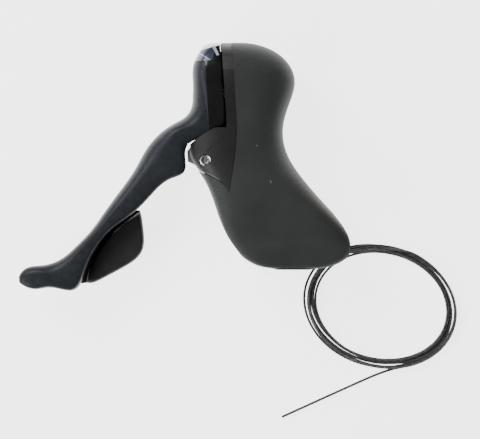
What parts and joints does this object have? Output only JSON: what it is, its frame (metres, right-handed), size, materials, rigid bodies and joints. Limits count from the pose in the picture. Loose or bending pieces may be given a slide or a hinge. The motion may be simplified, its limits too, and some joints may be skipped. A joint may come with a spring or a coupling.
{
  "type": "road brake shift lever",
  "caption": "Left-hand drop-bar brake and shift lever with a rubber hood, a hooked blade, a release paddle behind it and a loose coiled shift cable.",
  "frame": {"origin": "on the handlebar axis, in the middle of the clamp band", "axes": "+X along the handlebar towards the rider, +Y from the handlebar to the lever head, +Z to the outer side"},
  "size_m": [0.2091, 0.1781, 0.0368],
  "materials": {
    "hood_rubber": "matte",
    "bracket_plastic": "matte",
    "blade_paint": "satin",
    "plate_gloss": "gloss",
    "trim_metal": "polished",
    "paddle_plastic": "matte",
    "unit_plastic": "matte",
    "steel": "satin",
    "alloy": "satin",
    "cable_steel": "satin"
  },
  "bodies": {
    "bracket": {"bracket_body": "bracket_plastic", "hood": "hood_rubber", "clamp_band": "steel", "clamp_bolt": "steel", "clamp_nut": "steel", "lever_axle": "steel", "axle_set_screw": "steel", "reach_pad": "hood_rubber", "brake_cable_stop": "alloy", "cable_outlet": "unit_plastic", "unit_shaft": "steel", "unit_nut": "steel", "unit_return_spring": "steel", "pawl_pin": "steel", "lever_return_spring": "steel", "shift_cable_lead": "cable_steel", "shift_cable_coil": "cable_steel", "shift_cable_tail": "cable_steel"},
    "lever_base": {"lever_base": "alloy", "shift_axle": "steel", "axle_clip": "steel"},
    "cable_hook": {"cable_hook": "alloy"},
    "main_lever": {"brake_blade": "blade_paint", "name_plate": "plate_gloss", "plate_trim": "trim_metal", "plate_screw": "steel", "main_return_spring": "steel"},
    "release_lever": {"release_paddle": "paddle_plastic", "release_arm": "steel", "paddle_rivet": "steel"},
    "winding_rotor": {"winding_drum": "unit_plastic", "ratchet_wheel": "steel", "take_up_arm": "steel", "cable_head": "steel"},
    "holding_pawl": {"holding_pawl": "steel"}
  },
  "joints": [
    {"name": "brake_pull", "type": "hinge", "parent": "bracket", "child": "lever_base", "pos_m": [-0.0414, 0.0371, 0], "axis": [0, 0, 1], "range_deg": [0, 30], "stiffness_Nm_per_rad": 0.6, "springref_deg": -14.32},
    {"name": "main_swing", "type": "hinge", "parent": "lever_base", "child": "main_lever", "pos_m": [-0.04, 0.072, 0], "axis": [1, 0, 0], "range_deg": [0, 20], "stiffness_Nm_per_rad": 0.3, "springref_deg": -40.11},
    {"name": "release_swing", "type": "hinge", "parent": "main_lever", "child": "release_lever", "pos_m": [-0.0427, 0.072, 0], "axis": [1, 0, 0], "range_deg": [0, 12], "stiffness_Nm_per_rad": 0.15, "springref_deg": -40.11},
    {"name": "drum_turn", "type": "hinge", "parent": "bracket", "child": "winding_rotor", "pos_m": [-0.025, 0.072, 0], "axis": [1, 0, 0], "range_deg": [0, 20]},
    {"name": "pawl_lift", "type": "hinge", "parent": "bracket", "child": "holding_pawl", "pos_m": [-0.029, 0.072, -0.0106], "axis": [1, 0, 0], "range_deg": [0, 12]},
    {"name": "cable_hook_turn", "type": "hinge", "parent": "lever_base", "child": "cable_hook", "pos_m": [-0.038, 0.055, 0], "axis": [0, 0, 1], "range_deg": [-25, 25]}
  ],
  "couplings": [
    {"joint": "drum_turn", "follows": "main_swing", "ratio": 1},
    {"joint": "pawl_lift", "follows": "release_swing", "ratio": 1}
  ]
}
